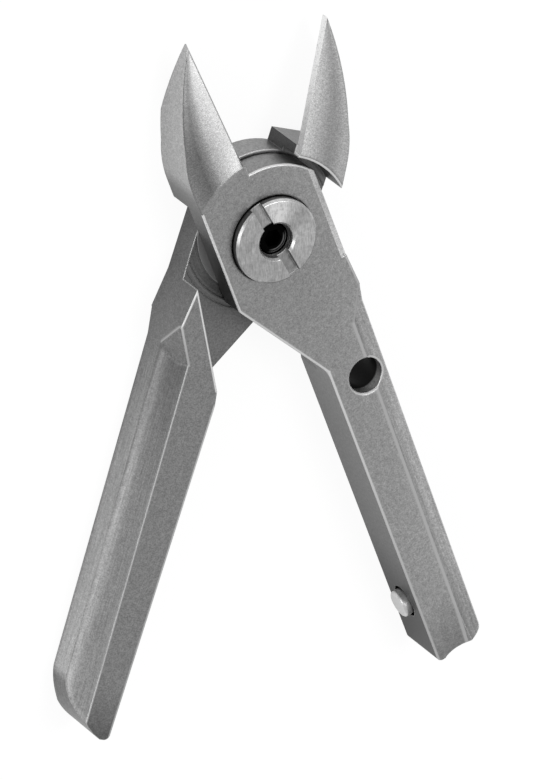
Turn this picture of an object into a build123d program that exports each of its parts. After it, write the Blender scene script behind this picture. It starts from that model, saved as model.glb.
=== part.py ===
from build123d import *
from collections import namedtuple
from math import atan, cos, degrees, hypot, radians, sin, sqrt, tan
import os

# Side cutter lying on its back: +Y towards the tips, +Z out of the front plate, millimetres.
# The pivot axis is X = Y = 0, and the back of both levers lies on Z = 0.
# Each lever is drawn with its jaw on -X and its handle on +X, about its own cutting plane X = 0.

# Whole tool
thickness = 9.4
lean = 19.85  # each lever's turn away from the closed position
lap_gap = 0.32  # between the two plates, filled by the washer
washer_play = 0.02
edge_clearance = 0.02  # each cutting edge to the cutting plane when closed

# Joint plates
front_plate_radius = 11.75
rear_plate_radius = 12.35
jaw_side = 9.0  # plate's side under the jaw
front_neck_side = 9.9  # plate's side above the handle
rear_neck_side = 9.95
front_shoulder_top = -8.3
rear_shoulder_top = -6.4
shoulder_run = 17.3
shoulder_round = 5.0
neck_bend = -9.6
step_wall_radius = 12.9  # concave wall of the jaw round the other plate
lap_ring_inset = 1.0  # inner turned step on the rear lap face, this far inside the step wall
lap_ring_step = 0.09
jaw_side_chamfer = 0.3
arc_break = 0.22  # broken edge round the top of the front plate
neck_chamfer = 0.95
neck_chamfer_depth = 0.35
neck_chamfer_foot = -9.2

# Jaws
tip_reach = 33.6
tip_flat = 0.25
jaw_straight_end = 12.6
jaw_bend_x = 7.7
jaw_bend_y = 18.9
jaw_mid_x = 4.4
jaw_mid_y = 27.0
slope_land = 0.4  # front slope leaves the plate this far outside the step wall
slope_fall = 0.22  # fall per millimetre of radius
edge_depth = 1.0  # cutting edge below the front slope
edge_bevel = 0.3
relief_angle = 40.0
shelf_height = 14.4
rear_taper_start = 23.6
rear_taper_rise = 0.39

# Handles
front_inner_face = 0.6
rear_inner_face = 0.75
step_foot_x = 1.15  # foot of the slanting step beside the other plate
step_foot_y = -24.8
step_round = 2.2
front_knuckle_x = 10.25
front_knuckle_y = -14.8
rear_knuckle_x = 10.75
rear_knuckle_y = -15.8
front_heel_x = 9.75  # outer face below the knuckle
front_heel_y = -17.6
rear_heel_x = 10.0
rear_heel_y = -20.1
front_outer_foot = 8.85  # outer face at the handle's end
rear_outer_foot = 7.85
handle_end = -81.3
nub_radius = 0.9
front_end_radius = 2.4
rear_sweep_start = 2.3  # the left handle's end sweeps from here up to the outer face
rear_sweep_x = 6.15
rear_sweep_y = -78.3
rear_sweep_top = -73.5
scoop_width = 2.42
scoop_depth = 5.2  # deep scoop, in front of the left handle
scoop_hollow = 0.5
dish_depth = 0.15  # shallow scoop, on all other faces
dish_hollow = 0.4
scoop_run = 5.6  # ridge starts this far below the knuckle
end_dish_depth = 0.9  # hollow across the right handle's end
end_dish_reach = 9.0
end_dish_width = 5.6

# Pivot screw
head_radius = 6.75
head_height = 2.65
head_proud = 1.45
head_gap = 0.2
head_chamfer = 0.35
journal_radius = 4.0
journal_clearance = 0.03
thread_radius = 3.5
slot_width = 1.8
slot_depth = 1.1
slot_turn = 28.0
mouth_radius = 2.75
mouth_depth = 1.3
mouth_chamfer = 0.35
lock_radius = 2.5
lock_length = 4.4
lock_recess = 1.5
lock_chamfer = 0.3
lock_bore_floor = 1.8
hex_across = 2.5
hex_depth = 1.9
screw_end_chamfer = 0.25  # round the end that is ground flush with the back

# Washer and stop pin
washer_radius = 10.2
stop_radius = 2.2
stop_setback = 9.7  # from the handle's end
stop_depth = 5.0
stop_clearance = 0.06
stop_dome = 0.45
stop_mouth_radius = 2.65
stop_mouth_depth = 0.7

# Through hole of the right handle
hole_radius = 2.85
hole_chamfer = 0.25
hole_x = 6.09
hole_y = -29.66

lap_middle = thickness / 2
front_lap = lap_middle + lap_gap / 2
rear_lap = lap_middle - lap_gap / 2
head_top = thickness + head_proud
stop_station = handle_end + stop_setback
slope_start = step_wall_radius + slope_land
slope_corner = sqrt(slope_start**2 - jaw_side**2)  # station where the front slope meets the jaw's side
lap_ring_radius = step_wall_radius - lap_ring_inset

deep = (scoop_depth, scoop_hollow)
shallow = (dish_depth, dish_hollow)
Lever = namedtuple("Lever", "radius neck shoulder inner knuckle heel foot front_scoop swept")
front = Lever(
    radius=front_plate_radius,
    neck=front_neck_side,
    shoulder=front_shoulder_top,
    inner=front_inner_face,
    knuckle=(front_knuckle_x, front_knuckle_y),
    heel=(front_heel_x, front_heel_y),
    foot=(front_outer_foot, handle_end),
    front_scoop=shallow,
    swept=False,
)
rear = Lever(
    radius=rear_plate_radius,
    neck=rear_neck_side,
    shoulder=rear_shoulder_top,
    inner=rear_inner_face,
    knuckle=(rear_knuckle_x, rear_knuckle_y),
    heel=(rear_heel_x, rear_heel_y),
    foot=(rear_outer_foot, handle_end),
    front_scoop=deep,
    swept=True,
)


def prism(points, low, high):
    """A closed outline of straight lines, raised from low to high."""
    outline = make_face(Polyline(*points, close=True))
    return Pos(0, 0, low) * extrude(outline, high - low)


def disc(radius, low, high, x=0.0, y=0.0):
    return Pos(x, y, low) * extrude(Circle(radius), high - low)


def countersink(radius, size, top, x=0.0, y=0.0):
    """45 degree cone that breaks the upper edge of a bore."""
    return Pos(x, y, top - size / 2) * Cone(radius, radius + size, size)


def corner_fillet(outline, x, y, radius):
    corner = outline.vertices().sort_by_distance(Vector(x, y, 0))[0]
    return fillet(corner, radius)


def outer_x(lever, y):
    """The handle's straight outer face at a station."""
    slope = (lever.heel[0] - lever.foot[0]) / (lever.heel[1] - lever.foot[1])
    return lever.foot[0] + slope * (y - lever.foot[1])


def edge_height(y):
    """Height of the cutting edge at a station."""
    return thickness - edge_depth - slope_fall * (y - slope_start)


def plate(lever, low, high):
    """Half-thickness plate: round top, jaw root, straight sides and a shoulder down to the handle."""
    upper = prism([(-jaw_side, 0), (lever.neck, 0), (lever.neck, slope_start), (-jaw_side, slope_start)], low, high)
    root = prism([(-jaw_side, 0), (-edge_clearance, 0), (-edge_clearance, tip_reach), (-jaw_side, tip_reach)], low, high)
    shoulder_foot = lever.shoulder - shoulder_run
    below = min(shoulder_foot, step_foot_y) - 2 * shoulder_round
    middle = (lever.inner + lever.heel[0] - scoop_width) / 2
    outline = Polyline(
        (-jaw_side, 0),
        (-jaw_side, lever.shoulder),
        (lever.inner, shoulder_foot),
        (lever.inner, below),
        (middle, below),
        lever.knuckle,
        (lever.neck, neck_bend),
        (lever.neck, 0),
        close=True,
    )
    skirt = corner_fillet(make_face(outline), lever.inner, shoulder_foot, shoulder_round)
    body = upper & disc(lever.radius, low, high)
    body += root & disc(slope_start, low, high)
    return body + Pos(0, 0, low) * extrude(skirt, high - low)


def jaw_blank():
    """Full-thickness jaw outline outside the concave step wall."""
    foot = sqrt(step_wall_radius**2 - jaw_side**2)
    middle = radians(90) + atan(jaw_side / foot) / 2
    side = Line((-jaw_side, foot), (-jaw_side, jaw_straight_end))
    belly = TangentArc((-jaw_side, jaw_straight_end), (-jaw_bend_x, jaw_bend_y), tangent=(0, 1))
    nose = ThreePointArc(belly @ 1, (-jaw_mid_x, jaw_mid_y), (-tip_flat - edge_clearance, tip_reach))
    tip = Line(nose @ 1, (-edge_clearance, tip_reach))
    face = Line(tip @ 1, (-edge_clearance, step_wall_radius))
    wall_middle = (step_wall_radius * cos(middle), step_wall_radius * sin(middle))
    wall = ThreePointArc(face @ 1, wall_middle, side @ 0)
    return extrude(make_face([side, belly, nose, tip, face, wall]), thickness)


def front_slope():
    """Conical grinding of the jaw's front, about the pivot axis."""
    far = 2 * tip_reach
    drop = slope_fall * (far - slope_start)
    profile = Polyline(
        (slope_start, 0, thickness),
        (far, 0, thickness - drop),
        (far, 0, thickness + 1),
        (slope_start, 0, thickness + 1),
        close=True,
    )
    cone = revolve(make_face(profile), Axis.Z, 360)
    return cone & Pos(1 - far / 2, far / 2, 0) * Box(far, far, 4 * thickness)


def edge_wedge(points, start):
    """A wedge section standing at a station and running to the tip, parallel to the cutting edge."""
    section = make_face(Polyline(*[(x, start, edge_height(start) + rise) for x, rise in points], close=True))
    return extrude(section, tip_reach, dir=Vector(0, 1, -slope_fall))


def relief():
    """The V behind the cutting edge, down to the shelf."""
    drop = 3 * thickness
    back = edge_clearance + drop * tan(radians(relief_angle))
    return edge_wedge([(-edge_clearance, 0), (2, 0), (2, -drop), (-back, -drop)], shelf_height)


def bevel():
    """Narrow bevel from the front slope down to the cutting edge."""
    rise = 3 * edge_depth
    back = edge_clearance + rise * edge_bevel / edge_depth
    return edge_wedge([(-edge_clearance, 0), (2, 0), (2, rise), (-back, rise)], slope_start)


def rear_taper():
    """Back of the jaw, falling away towards the tip."""
    far = 2 * tip_reach
    rise = rear_taper_rise * (far - rear_taper_start)
    side = make_face(
        Polyline((0, rear_taper_start, 0), (0, far, rise), (0, far, -1), (0, rear_taper_start, -1), close=True)
    )
    return extrude(side, 2 * jaw_side, both=True)


def jaw():
    return jaw_blank() - rear_taper() - relief()


def run_out(lever, face, inward):
    """Plane through the knuckle, the ridge's start and the deep scoop's start on the outer face."""
    knuckle = Vector(*lever.knuckle, face)
    start_y = lever.knuckle[1] - scoop_run
    start = Vector(outer_x(lever, start_y) - scoop_width, start_y, face)
    low_y = lever.knuckle[1] - 0.8 * scoop_run
    low = Vector(outer_x(lever, low_y), low_y, face + inward * scoop_depth)
    normal = (start - knuckle).cross(low - knuckle)
    if normal.Y < 0:
        normal = normal * -1
    return Plane(origin=knuckle, z_dir=normal)


def scoop(lever, section, in_front):
    """Hollow ground along the handle's outer face, with a slanting run-out below the knuckle."""
    depth, hollow = section
    face = thickness if in_front else 0
    inward = -1 if in_front else 1
    chord = hypot(scoop_width, depth)
    dip_x = -scoop_width / 2 - hollow * depth / chord
    dip_z = depth / 2 + hollow * scoop_width / chord
    lip = (0, 0, face + inward * depth)
    ridge = (-scoop_width, 0, face)
    curve = ThreePointArc(ridge, (dip_x, 0, face + inward * dip_z), lip)
    above = face - inward * thickness
    clear = lever.knuckle[0]
    rest = Polyline(lip, (clear, 0, lip[2]), (clear, 0, above), (-scoop_width, 0, above), ridge)
    length = lever.knuckle[1] - handle_end + thickness
    tool = extrude(make_face([curve, rest]), length, dir=Vector(0, -1, 0))
    turn = degrees(atan((lever.heel[0] - lever.foot[0]) / (lever.heel[1] - lever.foot[1])))
    top = lever.knuckle[1] + 1
    tool = Pos(outer_x(lever, top), top, 0) * Rot(0, 0, -turn) * tool
    return split(tool, bisect_by=run_out(lever, face, inward), keep=Keep.BOTTOM)


def handle_outline(lever):
    """Handle below the slanting step, with a square or a swept end."""
    foot_x, foot_y = lever.foot
    nub = (lever.inner, foot_y)
    start = (lever.neck, neck_bend)
    top = [start, lever.knuckle, lever.heel]
    bottom = [nub, (lever.inner, step_foot_y - step_round), (step_foot_x, step_foot_y), start]
    if lever.swept:
        sweep_top = (outer_x(lever, rear_sweep_top), rear_sweep_top)
        sweep = ThreePointArc(sweep_top, (rear_sweep_x, rear_sweep_y), (rear_sweep_start, foot_y))
        outline = make_face([Polyline(*top, sweep_top), sweep, Line(sweep @ 1, nub), Polyline(*bottom)])
        return corner_fillet(outline, *nub, nub_radius)
    outline = make_face(Polyline(*top, lever.foot, *bottom))
    outline = corner_fillet(outline, foot_x, foot_y, front_end_radius)
    return corner_fillet(outline, *nub, nub_radius)


def lever_body(lever, low, high):
    body = plate(lever, low, high) + extrude(handle_outline(lever), thickness) + jaw()
    body -= front_slope()
    body -= bevel()
    body -= scoop(lever, lever.front_scoop, True)
    return body - scoop(lever, shallow, False)


def broken_edge(x, width, depth, low, high):
    """Wedge that breaks a front edge running along Y; a negative width cuts the -X side."""
    section = Polyline(
        (x - width, low, thickness),
        (x + width, low, thickness - 2 * depth),
        (x + width, low, thickness + 1),
        (x - width, low, thickness + 1),
        close=True,
    )
    return extrude(make_face(section), high - low, dir=Vector(0, 1, 0))


def broken_arc(radius, size):
    """45 degree cut round the front edge of the plate's free arc, beside the cutting plane."""
    profile = Polyline(
        (radius - size, 0, thickness),
        (radius + 1, 0, thickness - size - 1),
        (radius + 1, 0, thickness + 1),
        (radius - size, 0, thickness + 1),
        close=True,
    )
    reach = 2 * radius
    quarter = Pos(reach / 2, reach / 2, thickness) * Box(reach, reach, reach)
    return revolve(make_face(profile), Axis.Z, 360) & quarter


def stop_seat():
    """Bore of the stop pin in the right handle's inner face, with a wider mouth."""
    turn = Rot(0, -90, 0)
    seat = extrude(Circle(stop_radius), stop_depth + 1)
    mouth = extrude(Circle(stop_mouth_radius), stop_mouth_depth + 1)
    floor_x = front_inner_face + stop_depth
    mouth_x = front_inner_face + stop_mouth_depth
    return Pos(floor_x, stop_station, lap_middle) * turn * seat + Pos(mouth_x, stop_station, lap_middle) * turn * mouth


def end_dish():
    """Hollow across the front of the right handle's end, deepest at the end face."""
    sag = hypot(end_dish_width / 2, end_dish_depth)
    radius = sag**2 / (2 * end_dish_depth)
    middle = (front_inner_face + outer_x(front, handle_end)) / 2
    fall = degrees(atan(end_dish_depth / end_dish_reach))
    roller = extrude(Circle(radius), 2 * end_dish_reach)
    start = thickness + radius
    return Pos(middle, handle_end + end_dish_reach, start) * Rot(90 + fall, 0, 0) * roller


def front_lever():
    body = lever_body(front, front_lap, thickness)
    body -= broken_edge(front_neck_side, neck_chamfer, neck_chamfer_depth, neck_chamfer_foot, front_plate_radius)
    body -= broken_edge(-jaw_side, -jaw_side_chamfer, jaw_side_chamfer, front_shoulder_top - 1, slope_corner)
    body -= broken_arc(front_plate_radius, arc_break)
    body -= disc(journal_radius + journal_clearance, -1, thickness + 1)
    body -= disc(head_radius + head_gap, head_top - head_height, thickness + 1)
    body -= disc(hole_radius, -1, thickness + 1, hole_x, hole_y)
    body -= countersink(hole_radius, hole_chamfer, thickness, hole_x, hole_y)
    body -= end_dish()
    body -= stop_seat()
    return Rot(0, 0, lean) * body


def rear_lever():
    body = lever_body(rear, 0, rear_lap + 2 * lap_ring_step)
    body -= disc(step_wall_radius, rear_lap + lap_ring_step, thickness + 1)
    body -= disc(lap_ring_radius, rear_lap, thickness + 1)
    body -= disc(thread_radius, -1, thickness + 1)
    return Rot(0, 0, -lean) * mirror(body, Plane.YZ)


def pivot_screw():
    under = head_top - head_height
    body = disc(head_radius, under, head_top)
    body = chamfer(body.edges().filter_by(GeomType.CIRCLE).group_by(Axis.Z)[-1], head_chamfer)
    body += disc(journal_radius, rear_lap, under)
    thread = disc(thread_radius, 0, rear_lap)
    body += chamfer(thread.edges().filter_by(GeomType.CIRCLE).group_by(Axis.Z)[0], screw_end_chamfer)
    body -= disc(lock_radius, lock_bore_floor, head_top)
    body -= disc(mouth_radius, head_top - mouth_depth, head_top)
    body -= countersink(mouth_radius, mouth_chamfer, head_top)
    slot = Pos(0, 0, head_top - slot_depth / 2) * Box(slot_width, 3 * head_radius, slot_depth)
    return body - Rot(0, 0, slot_turn) * slot


def lock_screw():
    top = head_top - lock_recess
    body = disc(lock_radius, top - lock_length, top)
    body = chamfer(body.edges().filter_by(GeomType.CIRCLE).group_by(Axis.Z)[-1], lock_chamfer)
    socket = extrude(RegularPolygon(hex_across / 2, 6, major_radius=False), hex_depth)
    return body - Pos(0, 0, top - hex_depth) * socket


def thrust_washer():
    low = rear_lap
    high = front_lap - washer_play
    return disc(washer_radius, low, high) - disc(journal_radius + journal_clearance, low - 1, high + 1)


def stop_pin():
    """Stands out of the right handle's inner face far enough to meet the left handle's."""
    reach = front_inner_face + rear_inner_face - stop_clearance
    pin = extrude(Circle(stop_radius), stop_depth + reach)
    pin = fillet(pin.edges().filter_by(GeomType.CIRCLE).group_by(Axis.Z)[-1], stop_dome)
    return Rot(0, 0, lean) * Pos(front_inner_face + stop_depth, stop_station, lap_middle) * Rot(0, -90, 0) * pin


def write(name, shape):
    os.makedirs("parts", exist_ok=True)
    shape.label = name
    export_step(shape, f"parts/{name}.step")


write("front_lever", front_lever())
write("rear_lever", rear_lever())
write("pivot_screw", pivot_screw())
write("lock_screw", lock_screw())
write("thrust_washer", thrust_washer())
write("stop_pin", stop_pin())
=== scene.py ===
import math
from types import SimpleNamespace

import bpy
import numpy as np
from mathutils import Matrix, Vector

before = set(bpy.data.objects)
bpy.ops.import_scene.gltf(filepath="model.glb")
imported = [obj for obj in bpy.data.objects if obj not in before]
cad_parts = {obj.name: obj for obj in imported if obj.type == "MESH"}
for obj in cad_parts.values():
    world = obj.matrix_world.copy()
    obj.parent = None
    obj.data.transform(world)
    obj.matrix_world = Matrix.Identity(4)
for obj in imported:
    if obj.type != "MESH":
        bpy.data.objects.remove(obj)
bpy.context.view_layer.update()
print("frame loaded:", len(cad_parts), "nodes")

scene = bpy.context.scene
scene.view_settings.view_transform = "Standard"

# the picture looks down on the lying tool from the upper left, with the tool upright in it
cameraSet = {
    "imageRight": (0.8813, -0.0041, 0.4725),  # world direction of the picture's right
    "imageDown": (-0.1941, -0.9149, 0.3540),
    "pivot": (0.0, 0.0, 0.0094),  # pivot axis on the front plate
    "pivotPixel": (272.80, 238.26),
    "focalPixels": 12750.0,
    "distance": 1.890,  # camera to the pivot
    "width": 553,
    "height": 780,
    "sensor": 36.0,  # millimetres
    "clip": (0.05, 20.0),
}


def makeCamera(values):
    right = Vector(values["imageRight"]).normalized()
    down = Vector(values["imageDown"])
    down = (down - right * down.dot(right)).normalized()
    away = right.cross(down)
    # the camera turns from the pivot to the picture's centre, so it needs no shift
    toRight = values["width"] / 2 - values["pivotPixel"][0]
    toDown = values["height"] / 2 - values["pivotPixel"][1]
    aim = (away * values["focalPixels"] + right * toRight + down * toDown).normalized()
    right = (right - aim * right.dot(aim)).normalized()
    up = right.cross(aim)
    data = bpy.data.cameras.new("camera")
    data.sensor_width = values["sensor"]
    data.lens = values["focalPixels"] * values["sensor"] / max(values["width"], values["height"])
    data.clip_start, data.clip_end = values["clip"]
    camera = bpy.data.objects.new("camera", data)
    turn = Matrix((right, up, -aim)).transposed()
    place = Vector(values["pivot"]) - away * values["distance"]
    camera.matrix_world = Matrix.Translation(place) @ turn.to_4x4()
    scene.collection.objects.link(camera)
    scene.camera = camera


makeCamera(cameraSet)
print("camera placed")


def addNode(tree, kind, **values):
    node = tree.nodes.new(kind)
    for name, value in values.items():
        setattr(node, name, value)
    return node


def fill(tree, socket, value):
    # a socket takes a link or a plain value
    if isinstance(value, bpy.types.NodeSocket):
        tree.links.new(value, socket)
    else:
        socket.default_value = value


def fillAll(tree, node, *values):
    # the first inputs of a node in their order, and its first output
    for index, value in enumerate(values):
        fill(tree, node.inputs[index], value)
    return node.outputs[0]


def calc(tree, operation, *values, clamp=False):
    node = addNode(tree, "ShaderNodeMath", operation=operation, use_clamp=clamp)
    return fillAll(tree, node, *values)


def product(tree, *factors):
    result = factors[0]
    for factor in factors[1:]:
        result = calc(tree, "MULTIPLY", result, factor)
    return result


def inverse(tree, mask):
    return calc(tree, "SUBTRACT", 1.0, mask)


def blendFloat(tree, factor, first, second):
    node = addNode(tree, "ShaderNodeMix", data_type="FLOAT")
    for index, value in ((0, factor), (2, first), (3, second)):
        fill(tree, node.inputs[index], value)
    return node.outputs[0]


def ease(tree, value, low, high, outLow=0.0, outHigh=1.0):
    # smooth step from outLow to outHigh while the value goes from low to high
    node = addNode(tree, "ShaderNodeMapRange", interpolation_type="SMOOTHSTEP")
    return fillAll(tree, node, value, low, high, outLow, outHigh)


def profile(tree, value, stops):
    # tone along a coordinate in metres; stops are millimetres and tone
    low, high = stops[0][0], stops[-1][0]
    span = high - low
    ramp = addNode(tree, "ShaderNodeValToRGB")
    fill(tree, ramp.inputs[0], calc(tree, "MULTIPLY_ADD", value, 1000 / span, -low / span))
    elements = ramp.color_ramp.elements
    for where, _ in stops[1:-1]:
        elements.new((where - low) / span)
    for element, (_, tone) in zip(elements, stops):
        element.color = (tone, tone, tone, 1.0)
    return ramp.outputs[0]


def gainProfile(tree, value, stops):
    # a gain about 1; its stops hold half of it, because a ramp's tones end at 1
    return product(tree, profile(tree, value, stops), 2.0)


def grey(tree, value):
    return fillAll(tree, addNode(tree, "ShaderNodeCombineColor"), value, value, value)


def separate(tree, vector):
    node = addNode(tree, "ShaderNodeSeparateXYZ")
    fill(tree, node.inputs[0], vector)
    return node.outputs


def combine(tree, *parts):
    return fillAll(tree, addNode(tree, "ShaderNodeCombineXYZ"), *parts)


def distanceTo(tree, vector, point):
    node = addNode(tree, "ShaderNodeVectorMath", operation="DISTANCE")
    fill(tree, node.inputs[0], vector)
    node.inputs[1].default_value = point
    return node.outputs["Value"]


def dotWith(tree, vector, other):
    node = addNode(tree, "ShaderNodeVectorMath", operation="DOT_PRODUCT")
    fill(tree, node.inputs[0], vector)
    fill(tree, node.inputs[1], other)
    return node.outputs["Value"]


def bump(tree, height, distance, normal=None):
    node = addNode(tree, "ShaderNodeBump")
    node.inputs["Strength"].default_value = 1.0
    node.inputs["Distance"].default_value = distance
    fill(tree, node.inputs["Height"], height)
    if normal is not None:
        fill(tree, node.inputs["Normal"], normal)
    return node.outputs[0]


def newGroup(name, inputs, outputs):
    # an empty node group; inputs and outputs are name, socket kind and default
    tree = bpy.data.node_groups.new(name, "ShaderNodeTree")
    for label, kind, value in inputs:
        socket = tree.interface.new_socket(label, in_out="INPUT", socket_type=kind)
        if value is not None:
            socket.default_value = value
    for label, kind in outputs:
        tree.interface.new_socket(label, in_out="OUTPUT", socket_type=kind)
    return tree, addNode(tree, "NodeGroupInput"), addNode(tree, "NodeGroupOutput")


def useGroup(tree, group, **values):
    node = addNode(tree, "ShaderNodeGroup", node_tree=group)
    for name, value in values.items():
        fill(tree, node.inputs[name], value)
    return node


def noiseOutputs(tree, leave, noise, tone, detail, roughness):
    # a group's height, and its tone about 1
    noise.inputs["Scale"].default_value = 1.0
    noise.inputs["Detail"].default_value = detail
    noise.inputs["Roughness"].default_value = roughness
    centred = calc(tree, "SUBTRACT", noise.outputs[0], 0.5)
    fill(tree, leave.inputs["Height"], noise.outputs[0])
    fill(tree, leave.inputs["Tone"], calc(tree, "MULTIPLY_ADD", centred, tone, 1.0))


def makeGrainGroup():
    # fine ground grain: noise drawn out along Y by the stretch
    tree, entry, leave = newGroup(
        "groundGrain",
        [
            ("Vector", "NodeSocketVector", None),
            ("Size", "NodeSocketFloat", 0.0002),  # metres across one grain
            ("Stretch", "NodeSocketFloat", 1.0),
            ("Tone", "NodeSocketFloat", 0.1),
        ],
        [("Height", "NodeSocketFloat"), ("Tone", "NodeSocketFloat")],
    )
    perMetre = calc(tree, "DIVIDE", 1.0, entry.outputs["Size"])
    drawn = calc(tree, "DIVIDE", perMetre, entry.outputs["Stretch"])
    scaled = addNode(tree, "ShaderNodeVectorMath", operation="MULTIPLY")
    fillAll(tree, scaled, entry.outputs["Vector"], combine(tree, perMetre, drawn, perMetre))
    noise = addNode(tree, "ShaderNodeTexNoise")
    fill(tree, noise.inputs["Vector"], scaled.outputs[0])
    noiseOutputs(tree, leave, noise, entry.outputs["Tone"], detail=3.0, roughness=0.6)
    return tree


def makeRingGroup():
    # turned rings: noise of the distance from the Z axis
    tree, entry, leave = newGroup(
        "turnedRings",
        [
            ("Vector", "NodeSocketVector", None),
            ("Pitch", "NodeSocketFloat", 0.00025),
            ("Tone", "NodeSocketFloat", 0.1),
        ],
        [("Height", "NodeSocketFloat"), ("Tone", "NodeSocketFloat"), ("Radius", "NodeSocketFloat")],
    )
    across, along, _ = separate(tree, entry.outputs["Vector"])
    squares = calc(tree, "MULTIPLY_ADD", along, along, product(tree, across, across))
    radius = calc(tree, "SQRT", squares)
    noise = addNode(tree, "ShaderNodeTexNoise", noise_dimensions="1D")
    fill(tree, noise.inputs["W"], calc(tree, "DIVIDE", radius, entry.outputs["Pitch"]))
    noiseOutputs(tree, leave, noise, entry.outputs["Tone"], detail=2.0, roughness=0.5)
    fill(tree, leave.inputs["Radius"], radius)
    return tree


def makeEdgeGroup():
    # rounded edge: how far the rounded normal leaves the face's own, which places the painted edge
    # highlights, and that rounded normal
    tree, entry, leave = newGroup(
        "roundedEdge",
        [("Radius", "NodeSocketFloat", 0.0002)],
        [("Mask", "NodeSocketFloat"), ("Normal", "NodeSocketVector")],
    )
    bevel = addNode(tree, "ShaderNodeBevel", samples=6)
    fill(tree, bevel.inputs["Radius"], entry.outputs["Radius"])
    geometry = addNode(tree, "ShaderNodeNewGeometry")
    turn = dotWith(tree, bevel.outputs[0], geometry.outputs["Normal"])
    fill(tree, leave.inputs["Mask"], ease(tree, turn, 0.995, 0.8))  # from 6 to 37 degrees
    fill(tree, leave.inputs["Normal"], bevel.outputs[0])
    return tree


grainGroup = makeGrainGroup()
ringGroup = makeRingGroup()
edgeGroup = makeEdgeGroup()
print("shader groups made")


def newMaterial(name):
    material = bpy.data.materials.new(name)
    material.use_nodes = True
    tree = material.node_tree
    shader = tree.nodes["Principled BSDF"]
    shader.inputs["Metallic"].default_value = 1.0
    return material, tree, shader


leverSteel = {
    "lean": 19.85,  # each lever's turn away from the closed position
    "roughness": 0.38,
    "jawRoughness": 0.24,
    "roughSpread": (0.85, 1.15),
    "grain": {"Size": 0.00022, "Tone": 1.35},
    "grainDepth": 0.0000035,
    "streaks": {"Size": 0.00030, "Stretch": 40.0, "Tone": 0.8},  # long grinding marks of the scoops
    "streakDepth": 0.00001,
    "mottle": {"Size": 0.0006, "Tone": 0.65},
    "hatch": {"Size": 0.00013, "Stretch": 7.0, "Tone": 0.55},  # fine grinding across the jaws
    "hatchShare": 0.08,  # share of its height that shapes the jaw
    "rings": {"Pitch": 0.0005, "Tone": 0.9},
    "edgeRadius": 0.00028,
    "jawEdgeRadius": 0.00045,
    "bladeRounding": 0.00002,  # by the cutting edge
    "lipRadius": 0.0009,  # soft lower edge of the deep scoop
    # painted highlights on the edges: the gain on the tone there
    "edgeGain": 1.3,
    "lapHeight": 0.00472,  # flat of the lap above the back
    "topLightGain": 2.0,  # painted light: the side of the lap towards the tips is painted lighter by this gain
    # the jaw's width falls as the square of the way from its root
    "jawRoot": 0.013,
    "jawWidth": 0.009,
    "jawFall": 20.8,  # per metre
    "jawLeast": 0.0003,
    "keenSoft": 0.00006,  # over which the painted line along the cutting edge fades in
    "faceShade": (0.002, 0.008),  # painted light across the face: where its right side's gain sets in
    "bandShade": (0.0007, 0.0019, 1.06, 0.90),  # painted shade across the ground band: inset from, to, and the gain there
    # the deep scoop runs out in a plane through the knuckle
    "frontHeight": 0.0094,
    "runLength": 0.0056,  # the ridge starts this far below the knuckle
    "runShare": 0.8,  # share of that length for the plane's low point on the outer face
    "scoopWidth": 0.00242,
    "scoopDepth": 0.0052,  # of the low point below the front
    "lipRise": 0.003,  # the lip's painted highlight fades in over this length before the sweep
    "softStep": 0.0001,  # over which painted bright lines and painted edge highlights fade in
    "lineEnd": 0.0003,  # over which a painted bright line fades out at its ends
    # painted highlight on the rim of the plate's arc
    "arcTone": 0.95,
}

# masks in the lever's own frame, in metres or as a part of the normal:
# what is measured, where the mask is 0 and where it is 1
leverMasks = {
    "left": ("turnX", -0.30, -0.60),
    "right": ("turnX", 0.30, 0.60),
    "neckwards": ("turnX", 0.15, 0.25),
    "tipwards": ("turnY", 0.60, 0.85),
    "arcwards": ("turnY", 0.40, 0.60),
    "endwards": ("turnY", -0.08, -0.30),
    "steep": ("upright", 0.75, 0.50),
    "arcSlant": ("upright", 0.40, 0.60),
    "slant": ("upright", 0.50, 0.60),
    "faceUp": ("upright", 0.60, 0.80),
    "jawUp": ("upright", 0.70, 0.90),
    "landUp": ("upright", 0.80, 0.90),
    "level": ("upright", 0.90, 0.99),
    "pastPivot": ("along", 0.0, 0.004),
    "upperLap": ("along", 0.002, 0.006),
    "bevelStart": ("along", 0.0126, 0.0130),
    "pastBlock": ("along", 0.0144, 0.0146),
    "byPlate": ("along", -0.0110, -0.0100),
    "onHandle": ("along", -0.0140, -0.0160),
    "runStart": ("along", -0.0230, -0.0225),
    "sweptEnd": ("along", -0.0720, -0.0730),
    # where the painted edge highlights end at the swept end
    "wornEnd": ("along", -0.0722, -0.0728),
    "bladeSide": ("across", -0.0014, -0.0009),
    # where the painted edge highlights reach across the side
    "wornSide": ("across", -0.002, 0.003),
    "rightLap": ("across", 0.0, 0.001),
    "pastInnerFace": ("across", 0.00062, 0.00070),
    "seatFloor": ("across", 0.0068, 0.0066),
    "front": ("height", 0.00572, 0.00592),
    "aboveBlock": ("height", 0.0078, 0.0080),
    "inScoop": ("height", 0.0041, 0.0043),
    "byBorder": ("height", 0.0041, 0.0044),
    "lowScoop": ("height", 0.0056, 0.0054),
    "underLip": ("height", 0.0062, 0.0056),
    "offPlate": ("radius", 0.0130, 0.0134),
    "jawSlope": ("radius", 0.0131, 0.0137),
    "ringArea": ("radius", 0.0134, 0.0126),
    "land": ("radius", 0.01325, 0.01315),
    "rim": ("radius", 0.01216, 0.01222),
    "arc": ("radius", 0.0125, 0.0120),
    "lapFlat": ("lapGap", 0.0004, 0.0003),
    "cut": ("uncut", 0.00010, 0.00005),
    "borderFoot": ("uncut", 0.00003, 0.00008),
    "borderTop": ("uncut", 0.00030, 0.00010),
    "softRun": ("uncut", -0.0014, -0.0010),
    "band": ("inset", 0.00252, 0.00232),
    "hole": ("holeWay", 0.00297, 0.00289),
    "holeRim": ("holeWay", 0.00316, 0.00310),
    "seat": ("seatWay", 0.00275, 0.00269),
    "arcLip": ("inArc", 0.0007, 0.0004),
}
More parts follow.
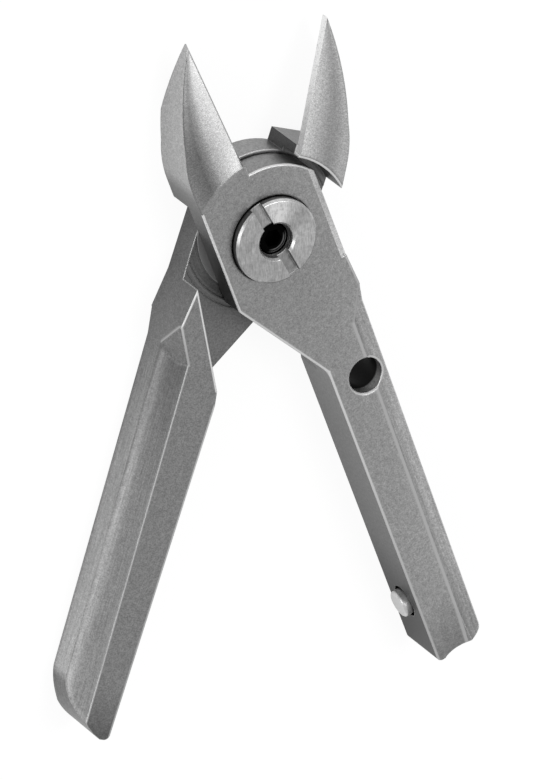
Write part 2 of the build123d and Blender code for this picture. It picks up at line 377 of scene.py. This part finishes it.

# painted light and shade: tones along each surface, in millimetres of the lever's own frame:
# jaw on -X, handle on +X, tips at +Y
frontLook = {
    "mirror": 1.0,
    "edgeLift": [(-81, 0.58), (12, 0.58)],  # painted highlights: what the edges add to the tone
    # painted highlights: bright lines on the front face, in millimetres:
    # X, Y of both ends, width on the left of the way, and the tone at both ends
    "lines": [
        (0.6, -25.6, 0.6, -81.3, 0.50, 0.88, 0.60),  # inner edge
        (-9.0, -8.3, 0.6, -25.6, 0.45, 0.80, 0.85),  # shoulder
        (10.25, -14.8, 9.9, -9.6, 0.40, 0.60, 0.70),  # neck
        (7.29, -20.4, 10.25, -14.8, 0.35, 0.50, 0.50),
        (6.43, -81.3, 7.29, -20.4, 0.60, 0.60, 0.58),  # ridge
    ],
    "knuckle": (0.01025, -0.0148),  # X and Y where the neck meets the handle
    "sweptGain": 1.0,  # painted shade: share of the tone that faces turned to the handle's end keep
    "runTone": 0.5,  # painted highlight along the upper border of the run-out
    "highlightFrom": 0.0057,  # lowest height with painted edge highlights
    "up": 0.36,  # painted light on faces turned to the tips
    # painted highlights on the left chamfer and the neck chamfer
    "leftChamfer": 0.95,
    "neckChamfer": 0.82,
    # share of the neck chamfer's painted highlight along it
    "neckAlong": [(-10, 1.0), (-4, 0.95), (-1, 0.70), (2, 0.55), (5, 0.75), (9, 0.9)],
    "blade": 0.15,  # painted shade on the cutting bevel
    "keenWidth": 0.00046,  # painted dark line along the cutting edge
    "keenTone": 0.16,
    "rightGain": 1.1,  # painted light: share of the tone at the face's right side
    "outer": (0.00975, -0.0176, 0.01413),  # outer face: X at the heel, Y there, and its slope
    # painted light and shade of the flat face and the ground band, along the lever
    "face": [(-81, 0.29), (-78, 0.33), (-72, 0.41), (-62, 0.43), (-40, 0.40), (-20, 0.38)]
    + [(-8, 0.355), (12, 0.36)],
    "band": [(-81, 0.38), (-75, 0.43), (-64, 0.54), (-35, 0.53), (-25, 0.49), (-15, 0.44)],
    # painted highlight and shade across the jaw, its full width being 100
    "jaw": [(0, 0.38), (20, 0.35), (45, 0.30), (55, 0.21), (70, 0.135), (78, 0.17), (86, 0.19)]
    + [(100, 0.27)],
    # half of the painted gain along the jaw
    "jawAlong": [(12, 0.62), (15, 0.54), (18, 0.45), (25, 0.46), (28, 0.51), (33, 0.55)],
    # painted shade of the side faces turned to -X and to +X
    "left": [(-81, 0.045), (-75, 0.05), (-68, 0.08), (-60, 0.165), (-52, 0.19), (-36, 0.20)]
    + [(-27, 0.23), (-20, 0.20), (-9, 0.07), (-2, 0.12), (5, 0.18), (9, 0.16), (12, 0.23)]
    + [(15, 0.50), (20, 0.5)],
    "right": [(-81, 0.40), (20, 0.40)],
    "lap": [(0, 0.3), (8, 0.3), (15, 0.22), (25, 0.22)],  # painted shade against the radius
    "hole": (0.00609, -0.02966, 0.0),
    # painted highlight on the hole's rim
    "holeRimTone": 0.75,
    # painted shade of the hole's wall against the height: dark deep down, lit near the mouth
    "holeDepth": [(0, 0.008), (7.2, 0.012), (7.5, 0.60), (8.3, 0.85), (9.4, 0.95)],
    "seat": (-0.0716, 0.0047, 0.0),  # Y and Z of the stop pin's wider mouth
    # painted shade in the stop pin's wider mouth
    "seatTone": 0.02,
}
rearLook = {
    "mirror": -1.0,
    "edgeLift": [(-81, 0.40), (-74, 0.40), (-70, 0.10), (-50, 0.10), (-35, 0.22), (-17, 0.50)]
    + [(12, 0.35)],
    "lines": [
        (0.75, -27.0, 0.75, -81.3, 0.30, 0.75, 0.60),
        (9.95, -9.6, 1.15, -24.8, 0.35, 1.0, 0.95),  # slanting step
        (10.75, -15.8, 9.95, -9.6, 0.40, 1.0, 1.0),
        (7.53, -21.4, 10.75, -15.8, 0.45, 0.55, 0.70),
        (5.43, -81.3, 7.53, -21.4, 0.25, 0.55, 0.60),
    ],
    "knuckle": (0.01075, -0.0158),
    "sweptGain": 0.43,
    "runTone": 0.48,
    "highlightFrom": 0.0044,
    "up": 0.42,
    "leftChamfer": 0.60,
    "neckChamfer": 0.40,
    "neckAlong": [(-10, 1.0), (9, 1.0)],
    # painted highlight on the cutting bevel
    "blade": 1.0,
    # a hair's width of painted light along the cutting edge
    "keenWidth": 0.00005,
    "keenTone": 0.8,
    "rightGain": 1.0,
    "outer": (0.0100, -0.0201, 0.03513),
    "face": [(-81, 0.16), (-78, 0.22), (-73, 0.30), (-50, 0.31), (-24, 0.30), (12, 0.30)],
    "band": [(-81, 0.42), (-15, 0.42)],
    "jaw": [(0, 0.77), (22, 0.62), (50, 0.43), (60, 0.41), (73, 0.48), (84, 0.60), (100, 0.62)],
    "jawAlong": [(12, 0.50), (33, 0.50)],
    "left": [(-81, 0.38), (20, 0.38)],
    "right": [(-81, 0.56), (-70, 0.51), (-57, 0.43), (-41, 0.39), (-28, 0.31), (-17, 0.22)]
    + [(-12, 0.20), (-8, 0.16), (-4, 0.17), (12, 0.10), (35, 0.10)],
    "lap": [(0, 0.25), (8, 0.30), (10, 0.20), (11.4, 0.17), (14.8, 0.19), (18, 0.22), (25, 0.22)],
    # half of the painted gain against the distance from the run-out's plane
    "scoopEnd": [(-5, 0.5), (-1, 0.43), (-0.15, 0.42), (-0.02, 0.56)],
    # three points of the swept end's arc
    "sweep": ((0.00812, -0.0735), (0.00615, -0.0783), (0.0023, -0.0813)),
    "sweptLip": 1.22,  # painted highlight: gain of the lip inside that arc
    "scoop": [(4, 0.40), (5.5, 0.43), (9.4, 0.45)],  # painted shade of the deep scoop against the height
    # painted shade of the deep scoop along the lever
    "scoopAlong": [(-81, 0.73), (-72, 0.72), (-57, 0.69), (-49, 0.67), (-41, 0.62), (-33, 0.53)]
    + [(-23, 0.47), (-15, 0.46)],
    "landTone": 0.85,  # painted highlight on the narrow land at the foot of the jaw's slope
    "rimTone": 0.55,  # painted highlight on the rim of the lap on the side towards the tips
}


def ownFrame(tree, lean, mirror):
    # position and normal in the lever's own frame, mirrored for the rear lever
    place = addNode(tree, "ShaderNodeTexCoord")
    turned = []
    for source in ("Object", "Normal"):
        node = addNode(tree, "ShaderNodeMapping", vector_type="POINT")
        node.inputs["Scale"].default_value = (mirror, 1.0, 1.0)
        node.inputs["Rotation"].default_value = (0.0, 0.0, -math.radians(lean))
        fill(tree, node.inputs["Vector"], place.outputs[source])
        turned.append(node.outputs[0])
    return turned


def runOutPlane(values, look):
    # plane through the knuckle, the ridge's start and a low point of the outer face
    heelX, heelY, slope = look["outer"]
    knuckle = Vector((*look["knuckle"], values["frontHeight"]))
    startY = knuckle.y - values["runLength"]
    lowY = knuckle.y - values["runLength"] * values["runShare"]
    startX = heelX + slope * (startY - heelY) - values["scoopWidth"]
    lowX = heelX + slope * (lowY - heelY)
    start = Vector((startX, startY, knuckle.z))
    low = Vector((lowX, lowY, knuckle.z - values["scoopDepth"]))
    normal = (low - knuckle).cross(start - knuckle).normalized()
    return normal, normal.dot(knuckle)


def circleThrough(first, second, third):
    # centre and radius, from the equal distances to three points
    points = np.array([first, second, third])
    squares = (points**2).sum(axis=1)
    centreX, centreY = np.linalg.solve((points[0] - points[1:]) * 2, squares[0] - squares[1:])
    return centreX, centreY, math.hypot(first[0] - centreX, first[1] - centreY)


def measure(tree, values, look, local, turned, radius):
    # everything that the masks go by
    across, along, height = separate(tree, local)
    turnX, turnY, turnZ = separate(tree, turned)
    heelX, heelY, slope = look["outer"]
    outerFace = calc(tree, "MULTIPLY_ADD", calc(tree, "SUBTRACT", along, heelY), slope, heelX)
    normal, offset = runOutPlane(values, look)
    flat = combine(tree, across, along)
    found = {
        "across": across,
        "along": along,
        "height": height,
        "turnX": turnX,
        "turnY": turnY,
        "upright": calc(tree, "ABSOLUTE", turnZ),
        "radius": radius,
        "inset": calc(tree, "SUBTRACT", outerFace, across),
        "uncut": calc(tree, "SUBTRACT", dotWith(tree, local, normal), offset),
        "lapGap": calc(tree, "ABSOLUTE", calc(tree, "SUBTRACT", height, values["lapHeight"])),
    }
    if "hole" in look:
        found["holeWay"] = distanceTo(tree, flat, look["hole"])
        found["seatWay"] = distanceTo(tree, combine(tree, along, height), look["seat"])
    if "sweep" in look:
        centreX, centreY, arcRadius = circleThrough(*look["sweep"])
        arcWay = distanceTo(tree, flat, (centreX, centreY, 0.0))
        found["inArc"] = calc(tree, "SUBTRACT", arcRadius, arcWay)
    return found


def maskMaker(tree, found, table):
    # a function that gives masks of the table by name
    made = {}

    def mask(*names):
        # product of the named masks, each one made once
        for name in names:
            if name not in made:
                source, low, high = table[name]
                made[name] = ease(tree, found[source], low, high)
        return product(tree, *(made[name] for name in names))

    return mask


def faceTone(lever):
    # painted light and shade of the flat face, the ground band beside it and the hollow jaw
    tree, values, look, mask = lever.tree, lever.values, lever.look, lever.mask
    across, along = lever.found["across"], lever.found["along"]
    shade = ease(tree, across, *values["faceShade"], 1.0, look["rightGain"])
    tone = product(tree, profile(tree, along, look["face"]), shade)
    shade = ease(tree, lever.found["inset"], *values["bandShade"])
    band = product(tree, profile(tree, along, look["band"]), shade)
    tone = blendFloat(tree, product(tree, lever.ground, mask("front")), tone, band)
    # how far across the jaw, with its whole width as the profile's 100 mm
    way = calc(tree, "SUBTRACT", along, values["jawRoot"])
    square = product(tree, way, way)
    width = calc(tree, "MULTIPLY_ADD", square, -values["jawFall"], values["jawWidth"])
    width = calc(tree, "MAXIMUM", width, values["jawLeast"])
    share = calc(tree, "DIVIDE", product(tree, across, -0.1), width)
    paintedHollow = product(
        tree,
        profile(tree, share, look["jaw"]),
        gainProfile(tree, along, look["jawAlong"]),
        lever.hatch.outputs["Tone"],
    )
    tone = blendFloat(tree, lever.jaw, tone, paintedHollow)
    # painted thin line along the cutting edge, dark on the front lever and light on the rear
    keen = ease(tree, across, -look["keenWidth"] - values["keenSoft"], -look["keenWidth"])
    return blendFloat(tree, product(tree, lever.jaw, keen), tone, look["keenTone"])


def sideTone(lever, tone):
    # painted light and shade on side faces, chamfers and the swept end, by the way they face
    tree, look, mask = lever.tree, lever.look, lever.mask
    along = lever.found["along"]
    # the cutting bevel begins at the jaw's root, above the block beside it
    blade = calc(tree, "MAXIMUM", mask("pastBlock"), mask("aboveBlock"))
    blade = product(tree, blade, mask("bevelStart"))
    rightTone = blendFloat(tree, blade, profile(tree, along, look["right"]), look["blade"])
    tone = blendFloat(tree, mask("left", "steep"), tone, profile(tree, along, look["left"]))
    tone = blendFloat(tree, mask("right", "steep"), tone, rightTone)
    tone = blendFloat(tree, mask("tipwards"), tone, look["up"])
    tone = product(tree, tone, blendFloat(tree, lever.atEnd, 1.0, look["sweptGain"]))
    slanted = mask("front", "slant", "byPlate")
    tone = blendFloat(tree, product(tree, slanted, mask("left")), tone, look["leftChamfer"])
    neck = product(tree, slanted, mask("neckwards"), profile(tree, along, look["neckAlong"]))
    return blendFloat(tree, neck, tone, look["neckChamfer"])


def scoopTone(lever, tone):
    # painted shade in the deep scoop, with a painted highlight on the lip along the swept end
    tree, look, mask, found = lever.tree, lever.look, lever.mask, lever.found
    paintedHollow = product(
        tree,
        profile(tree, found["height"], look["scoop"]),
        profile(tree, found["along"], look["scoopAlong"]),
        gainProfile(tree, found["uncut"], look["scoopEnd"]),
    )
    sweepTop = look["sweep"][0][1]
    nearEnd = ease(tree, found["along"], sweepTop + lever.values["lipRise"], sweepTop)
    lip = product(tree, mask("arcLip"), nearEnd)
    paintedHollow = product(tree, paintedHollow, blendFloat(tree, lip, 1.0, look["sweptLip"]))
    inScoop = product(tree, lever.ground, mask("inScoop"), inverse(tree, lever.atEnd))
    return blendFloat(tree, inScoop, tone, paintedHollow)


def grainTone(lever, tone):
    # grain everywhere, mottle off the jaw and long streaks in the ground scoops
    tree = lever.tree
    mottle = blendFloat(tree, lever.jaw, lever.mottle.outputs["Tone"], 1.0)
    streaks = blendFloat(tree, lever.ground, 1.0, lever.streaks.outputs["Tone"])
    return product(tree, tone, lever.grain.outputs["Tone"], mottle, streaks)


def lapTone(lever, tone):
    # the flat of the lap joint, with painted shade against the radius, painted light on the side
    # towards the tips, and turned rings round the pivot
    tree, mask = lever.tree, lever.mask
    shade = product(
        tree,
        profile(tree, lever.found["radius"], lever.look["lap"]),
        lever.grain.outputs["Tone"],
        blendFloat(tree, mask("upperLap", "rightLap"), 1.0, lever.values["topLightGain"]),
        blendFloat(tree, mask("ringArea"), 1.0, lever.rings.outputs["Tone"]),
    )
    return blendFloat(tree, mask("lapFlat", "level"), tone, shade)


def edgeHighlightTone(lever, tone):
    # painted highlights on the edges, on the upper half, but not on the jaw or low in the scoop
    tree, values, look, mask = lever.tree, lever.values, lever.look, lever.mask
    lift = profile(tree, lever.found["along"], look["edgeLift"])
    highlit = calc(tree, "MULTIPLY_ADD", tone, values["edgeGain"], lift, clamp=True)
    offScoop = inverse(tree, mask("onHandle", "lowScoop"))
    offScoop = calc(tree, "MAXIMUM", offScoop, mask("wornEnd"))
    low, high = look["highlightFrom"], look["highlightFrom"] + values["softStep"]
    above = ease(tree, lever.found["height"], low, high)
    outside = calc(tree, "MAXIMUM", mask("front"), mask("wornSide"))
    offJaw = inverse(tree, lever.onJaw)
    where = product(tree, lever.edge.outputs["Mask"], above, outside, offJaw, offScoop)
    return blendFloat(tree, where, tone, highlit)


def lineTone(lever, tone):
    # painted highlights: bright lines of the front face
    tree, values = lever.tree, lever.values
    across, along = lever.found["across"], lever.found["along"]
    face = lever.mask("front", "faceUp")
    for startX, startY, endX, endY, width, startTone, endTone in lever.look["lines"]:
        # distance from the line through both ends, along its normal
        length = math.hypot(endX - startX, endY - startY)
        offX, offY = (startY - endY) / length, (endX - startX) / length
        offset = -(startX * offX + startY * offY) / 1000
        away = calc(tree, "MULTIPLY_ADD", across, offX, offset)
        away = calc(tree, "MULTIPLY_ADD", along, offY, away)
        low, high = min(startY, endY) / 1000, max(startY, endY) / 1000
        beside = product(
            tree,
            face,
            ease(tree, away, width / 1000, width / 2000),
            ease(tree, away, -values["softStep"], 0.0),
            ease(tree, along, low - values["lineEnd"], low),
            ease(tree, along, high + values["lineEnd"], high),
        )
        bright = ease(tree, along, startY / 1000, endY / 1000, startTone, endTone)
        tone = blendFloat(tree, beside, tone, bright)
    return tone


def markTone(lever, tone):
    # painted highlights on the run-out's border, the plate's arc and each lever's own small places,
    # and painted shade and light in the front lever's hole and stop pin mouth
    tree, look, mask = lever.tree, lever.look, lever.mask
    border = mask("borderTop", "borderFoot", "right", "steep", "byBorder", "runStart", "onHandle")
    marks = [(border, look["runTone"])]
    if "landTone" in look:
        marks.append((mask("front", "land", "pastPivot", "landUp"), look["landTone"]))
        rim = mask("lapFlat", "level", "rim", "upperLap", "rightLap")
        marks.append((rim, look["rimTone"]))
    marks.append((mask("front", "arcwards", "arc", "arcSlant"), lever.values["arcTone"]))
    if "hole" in look:
        marks.append((mask("holeRim", "front"), look["holeRimTone"]))
        marks.append((mask("seat", "pastInnerFace", "seatFloor"), look["seatTone"]))
        wall = profile(tree, lever.found["height"], look["holeDepth"])
        wall = product(tree, wall, lever.mottle.outputs["Tone"], lever.grain.outputs["Tone"])
        marks.append((mask("hole"), wall))
    for where, shade in marks:
        tone = blendFloat(tree, where, tone, shade)
    return tone


def leverNormal(lever):
    # grain and streaks over the rounded edges, and softer lips round the scoop
    tree, values, mask = lever.tree, lever.values, lever.mask
    hatch = product(tree, lever.hatch.outputs["Height"], values["hatchShare"])
    fine = blendFloat(tree, lever.jaw, lever.grain.outputs["Height"], hatch)
    shaped = bump(tree, fine, values["grainDepth"], lever.edge.outputs["Normal"])
    drawn = product(tree, lever.streaks.outputs["Height"], lever.ground)
    shaped = bump(tree, drawn, values["streakDepth"], shaped)
    if "scoop" not in lever.look:
        return shaped
    lip = useGroup(tree, edgeGroup, Radius=values["lipRadius"])
    soft = calc(tree, "MAXIMUM", mask("underLip"), mask("softRun"))
    blend = addNode(tree, "ShaderNodeMix", data_type="VECTOR")
    fill(tree, blend.inputs[0], product(tree, lever.ground, soft))
    fill(tree, blend.inputs[4], shaped)
    fill(tree, blend.inputs[5], lip.outputs["Normal"])
    return blend.outputs[1]


def makeLeverMaterial(name, values, look):
    # ground steel in the lever's own frame, its tone carrying painted light and shade
    material, tree, shader = newMaterial(name)
    local, turned = ownFrame(tree, values["lean"], look["mirror"])
    lever = SimpleNamespace(tree=tree, values=values, look=look)  # what the steps share
    lever.grain = useGroup(tree, grainGroup, Vector=local, **values["grain"])
    lever.streaks = useGroup(tree, grainGroup, Vector=local, **values["streaks"])
    lever.mottle = useGroup(tree, grainGroup, Vector=local, **values["mottle"])
    lever.rings = useGroup(tree, ringGroup, Vector=local, **values["rings"])
    lever.found = measure(tree, values, look, local, turned, lever.rings.outputs["Radius"])
    crossed = combine(tree, *(lever.found[way] for way in ("along", "across", "height")))
    lever.hatch = useGroup(tree, grainGroup, Vector=crossed, **values["hatch"])
    lever.mask = mask = maskMaker(tree, lever.found, leverMasks)

    lever.onJaw = mask("offPlate", "pastPivot")
    rounding = blendFloat(tree, lever.onJaw, values["edgeRadius"], values["jawEdgeRadius"])
    byBlade = product(tree, lever.onJaw, mask("bladeSide"))
    rounding = blendFloat(tree, byBlade, rounding, values["bladeRounding"])
    lever.edge = useGroup(tree, edgeGroup, Radius=rounding)
    lever.ground = mask("cut", "band")
    lever.jaw = mask("jawSlope", "pastPivot", "jawUp")
    lever.atEnd = mask("sweptEnd", "endwards", "steep")

    tone = sideTone(lever, faceTone(lever))
    if "scoop" in look:
        tone = scoopTone(lever, tone)
    for step in (grainTone, lapTone, edgeHighlightTone, lineTone, markTone):
        tone = step(lever, tone)
    fill(tree, shader.inputs["Base Color"], grey(tree, tone))
    rough = blendFloat(tree, lever.jaw, values["roughness"], values["jawRoughness"])
    uneven = blendFloat(tree, lever.grain.outputs["Height"], *values["roughSpread"])
    fill(tree, shader.inputs["Roughness"], product(tree, rough, uneven))
    fill(tree, shader.inputs["Normal"], leverNormal(lever))
    return material


headSteel = {
    "tone": 0.55,
    "roughness": 0.30,
    "rings": {"Pitch": 0.00035, "Tone": 0.12},
    "ringDepth": 0.000006,
    "grain": {"Size": 0.00018, "Tone": 0.3},
    "scratches": {"Size": 0.00016, "Stretch": 8.0, "Tone": 1.1},  # mostly along Y
    "mottle": {"Size": 0.0008, "Tone": 0.9},
    "edgeRadius": 0.00015,
    # painted highlights on the edges
    "edgeGain": 1.25,
    "edgeLift": 0.06,
    "top": 0.01085,
    "mouth": [(0.3, 0.9), (0.8, 0.8), (1.2, 0.35), (1.3, 0.05), (1.5, 0.02)],  # painted shade in the bore's mouth, against the depth
    # painted highlight and shade: half of the gain against the angle from +X, in radians
    "sector": [(-3.15, 0.46), (-1.2, 0.46), (-0.5, 0.51), (0.1, 0.57), (0.75, 0.41), (1.1, 0.58)]
    + [(1.5, 0.95), (1.75, 0.80), (2.2, 0.46), (3.15, 0.46)],
    # painted shade on steep walls below the top
    "wallTone": 0.16,
    "slotDepth": (0.0004, 0.0008),  # below the top, where the slot's floor begins
    "slotTone": 0.72,  # painted shade: share of the tone that the slot's floor keeps
}

# what is measured on the head, where the mask is 0 and where it is 1
headMasks = {
    "steep": ("upright", 0.6, 0.3),
    "wall": ("sunk", 0.0001, 0.0003),
    "belowRim": ("sunk", 0.0003, 0.0004),
    "mouth": ("radius", 0.0029, 0.0028),
}


def makeHeadMaterial(name, values):
    # turned steel: rings round the pivot axis over a fine grain, with painted light and shade by
    # angle, painted shade in the slot and the bore, and painted edge highlights
    material, tree, shader = newMaterial(name)
    place = addNode(tree, "ShaderNodeTexCoord")
    spot = place.outputs["Object"]
    across, along, height = separate(tree, spot)
    upright = separate(tree, place.outputs["Normal"])[2]
    rings = useGroup(tree, ringGroup, Vector=spot, **values["rings"])
    grain, mottle, scratches = (
        useGroup(tree, grainGroup, Vector=spot, **values[kind]).outputs["Tone"]
        for kind in ("grain", "mottle", "scratches")
    )
    edge = useGroup(tree, edgeGroup, Radius=values["edgeRadius"])
    sunk = calc(tree, "SUBTRACT", values["top"], height)
    found = {"upright": upright, "sunk": sunk, "radius": rings.outputs["Radius"]}
    mask = maskMaker(tree, found, headMasks)
    tone = product(tree, rings.outputs["Tone"], grain, mottle, scratches, values["tone"])
    angle = calc(tree, "ARCTAN2", along, across)
    # a profile reads thousandths
    bright = gainProfile(tree, calc(tree, "DIVIDE", angle, 1000.0), values["sector"])
    slot = ease(tree, sunk, *values["slotDepth"], 1.0, values["slotTone"])
    tone = product(tree, tone, bright, slot)
    tone = blendFloat(tree, mask("steep", "wall"), tone, values["wallTone"])
    mouthTone = profile(tree, sunk, values["mouth"])
    tone = blendFloat(tree, mask("mouth", "belowRim"), tone, mouthTone)
    highlit = calc(tree, "MULTIPLY_ADD", tone, values["edgeGain"], values["edgeLift"], clamp=True)
    tone = blendFloat(tree, edge.outputs["Mask"], tone, highlit)
    fill(tree, shader.inputs["Base Color"], grey(tree, tone))
    fill(tree, shader.inputs["Roughness"], product(tree, grain, values["roughness"]))
    turned = bump(tree, rings.outputs["Height"], values["ringDepth"], edge.outputs["Normal"])
    fill(tree, shader.inputs["Normal"], turned)
    return material


lockSteel = {
    "roughness": 0.6,
    "grain": {"Size": 0.00015, "Tone": 0.5},
    "grainDepth": 0.000004,
    # painted glints: tone against the radius, with two thread turns lighter
    "threadGlints": [(0, 0.002), (1.72, 0.002), (1.78, 0.16), (1.92, 0.16), (1.98, 0.004), (2.12, 0.004)]
    + [(2.18, 0.22), (2.36, 0.22), (2.42, 0.006), (2.5, 0.006)],
    "litFrom": (0.0010, 0.0022),  # X less Y, where the painted light sets in
    # painted shadow on the rest
    "shadow": 0.002,
}


def makeLockMaterial(name, values):
    # near-black steel, with painted glints on two thread turns on the side towards +X and -Y
    material, tree, shader = newMaterial(name)
    spot = addNode(tree, "ShaderNodeTexCoord").outputs["Object"]
    across, along, _ = separate(tree, spot)
    grain = useGroup(tree, grainGroup, Vector=spot, **values["grain"])
    radius = useGroup(tree, ringGroup, Vector=spot).outputs["Radius"]
    threadGlints = product(tree, profile(tree, radius, values["threadGlints"]), grain.outputs["Tone"])
    lit = ease(tree, calc(tree, "SUBTRACT", across, along), *values["litFrom"])
    shade = blendFloat(tree, lit, values["shadow"], threadGlints)
    fill(tree, shader.inputs["Base Color"], grey(tree, shade))
    rough = product(tree, grain.outputs["Tone"], values["roughness"])
    fill(tree, shader.inputs["Roughness"], rough)
    shaped = bump(tree, grain.outputs["Height"], values["grainDepth"])
    fill(tree, shader.inputs["Normal"], shaped)
    return material


# edgeTone: painted highlight on the edges
washerSteel = {"tone": 0.35, "roughness": 0.40, "grainTone": 0.20, "edgeTone": 0.50}
pinSteel = {"tone": 0.72, "roughness": 0.36, "grainTone": 0.25, "edgeTone": 0.85}
plainSteel = {"grainSize": 0.00015, "grainDepth": 0.000004, "edgeRadius": 0.00012}


def makePlainMetal(name, values):
    # small hardware: one tone, broken by grain, with painted highlights on the edges
    material, tree, shader = newMaterial(name)
    spot = addNode(tree, "ShaderNodeTexCoord").outputs["Object"]
    size = plainSteel["grainSize"]
    grain = useGroup(tree, grainGroup, Vector=spot, Size=size, Tone=values["grainTone"])
    edge = useGroup(tree, edgeGroup, Radius=plainSteel["edgeRadius"])
    shade = product(tree, grain.outputs["Tone"], values["tone"])
    shade = blendFloat(tree, edge.outputs["Mask"], shade, values["edgeTone"])
    fill(tree, shader.inputs["Base Color"], grey(tree, shade))
    rough = product(tree, grain.outputs["Tone"], values["roughness"])
    fill(tree, shader.inputs["Roughness"], rough)
    depth = plainSteel["grainDepth"]
    shaped = bump(tree, grain.outputs["Height"], depth, edge.outputs["Normal"])
    fill(tree, shader.inputs["Normal"], shaped)
    return material


def dress(node, material):
    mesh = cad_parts[node].data
    mesh.materials.clear()
    mesh.materials.append(material)


dress("front_lever", makeLeverMaterial("frontLeverSteel", leverSteel, frontLook))
dress("rear_lever", makeLeverMaterial("rearLeverSteel", leverSteel, rearLook))
dress("pivot_screw", makeHeadMaterial("turnedHeadSteel", headSteel))
dress("lock_screw", makeLockMaterial("nearBlackLockSteel", lockSteel))
dress("thrust_washer", makePlainMetal("washerSteel", washerSteel))
dress("stop_pin", makePlainMetal("polishedPinSteel", pinSteel))
print("materials made")


floorSet = {
    "half": 1.6,
    "steps": 9,
    "height": -0.0001,
    "tone": 0.86,
    "cameraWhite": 0.85,  # share of plain white that the camera sees
    "glossWhite": 0.35,  # share that reflections see
    "strength": 1.07,
}


def makeFloor(values):
    # a flat sheet over two parameters, each from minus to plus half
    steps = np.linspace(-values["half"], values["half"], values["steps"])
    across, along = np.meshgrid(steps, steps, indexing="ij")
    level = np.full_like(across, values["height"])
    points = np.stack([across, along, level], axis=-1).reshape(-1, 3)
    index = np.arange(len(points)).reshape(across.shape)
    around = [index[:-1, :-1], index[1:, :-1], index[1:, 1:], index[:-1, 1:]]
    corners = np.stack(around, axis=-1).reshape(-1, 4)
    mesh = bpy.data.meshes.new("floor")
    mesh.from_pydata(points.tolist(), [], corners.tolist())
    floor = bpy.data.objects.new("floor", mesh)
    scene.collection.objects.link(floor)
    material = bpy.data.materials.new("whiteFloor")
    material.use_nodes = True
    tree = material.node_tree
    tree.nodes.clear()
    paper = addNode(tree, "ShaderNodeBsdfDiffuse")
    paper.inputs["Color"].default_value = (values["tone"],) * 3 + (1.0,)
    white = addNode(tree, "ShaderNodeEmission")
    white.inputs["Strength"].default_value = values["strength"]
    path = addNode(tree, "ShaderNodeLightPath")
    mix = addNode(tree, "ShaderNodeMixShader")
    seen = product(tree, path.outputs["Is Camera Ray"], values["cameraWhite"])
    mirrored = path.outputs["Is Glossy Ray"]
    share = calc(tree, "MULTIPLY_ADD", mirrored, values["glossWhite"], seen)
    fill(tree, mix.inputs[0], share)
    tree.links.new(paper.outputs[0], mix.inputs[1])
    tree.links.new(white.outputs[0], mix.inputs[2])
    leave = addNode(tree, "ShaderNodeOutputMaterial")
    tree.links.new(mix.outputs[0], leave.inputs[0])
    mesh.materials.append(material)


makeFloor(floorSet)
print("floor laid")

lampSet = {
    "keyAbove": {"place": (0.36, 0.25, 1.1), "size": 0.5, "watts": 3.0},
    "sideLeft": {"place": (-1.0, 0.1, 0.55), "size": 0.6, "watts": 2.2},
}
worldStrength = 0.6


def makeLamp(name, place, size, watts):
    data = bpy.data.lights.new(name, "AREA")
    data.size = size
    data.energy = watts
    lamp = bpy.data.objects.new(name, data)
    aim = (-Vector(place)).to_track_quat("-Z", "Y")  # towards the pivot
    lamp.matrix_world = Matrix.Translation(Vector(place)) @ aim.to_matrix().to_4x4()
    scene.collection.objects.link(lamp)


for name, values in lampSet.items():
    makeLamp(name, **values)

world = bpy.data.worlds.new("studio")
world.use_nodes = True
sky = world.node_tree.nodes["Background"]
sky.inputs["Color"].default_value = (1.0, 1.0, 1.0, 1.0)
sky.inputs["Strength"].default_value = worldStrength
scene.world = world
print("stage lit")
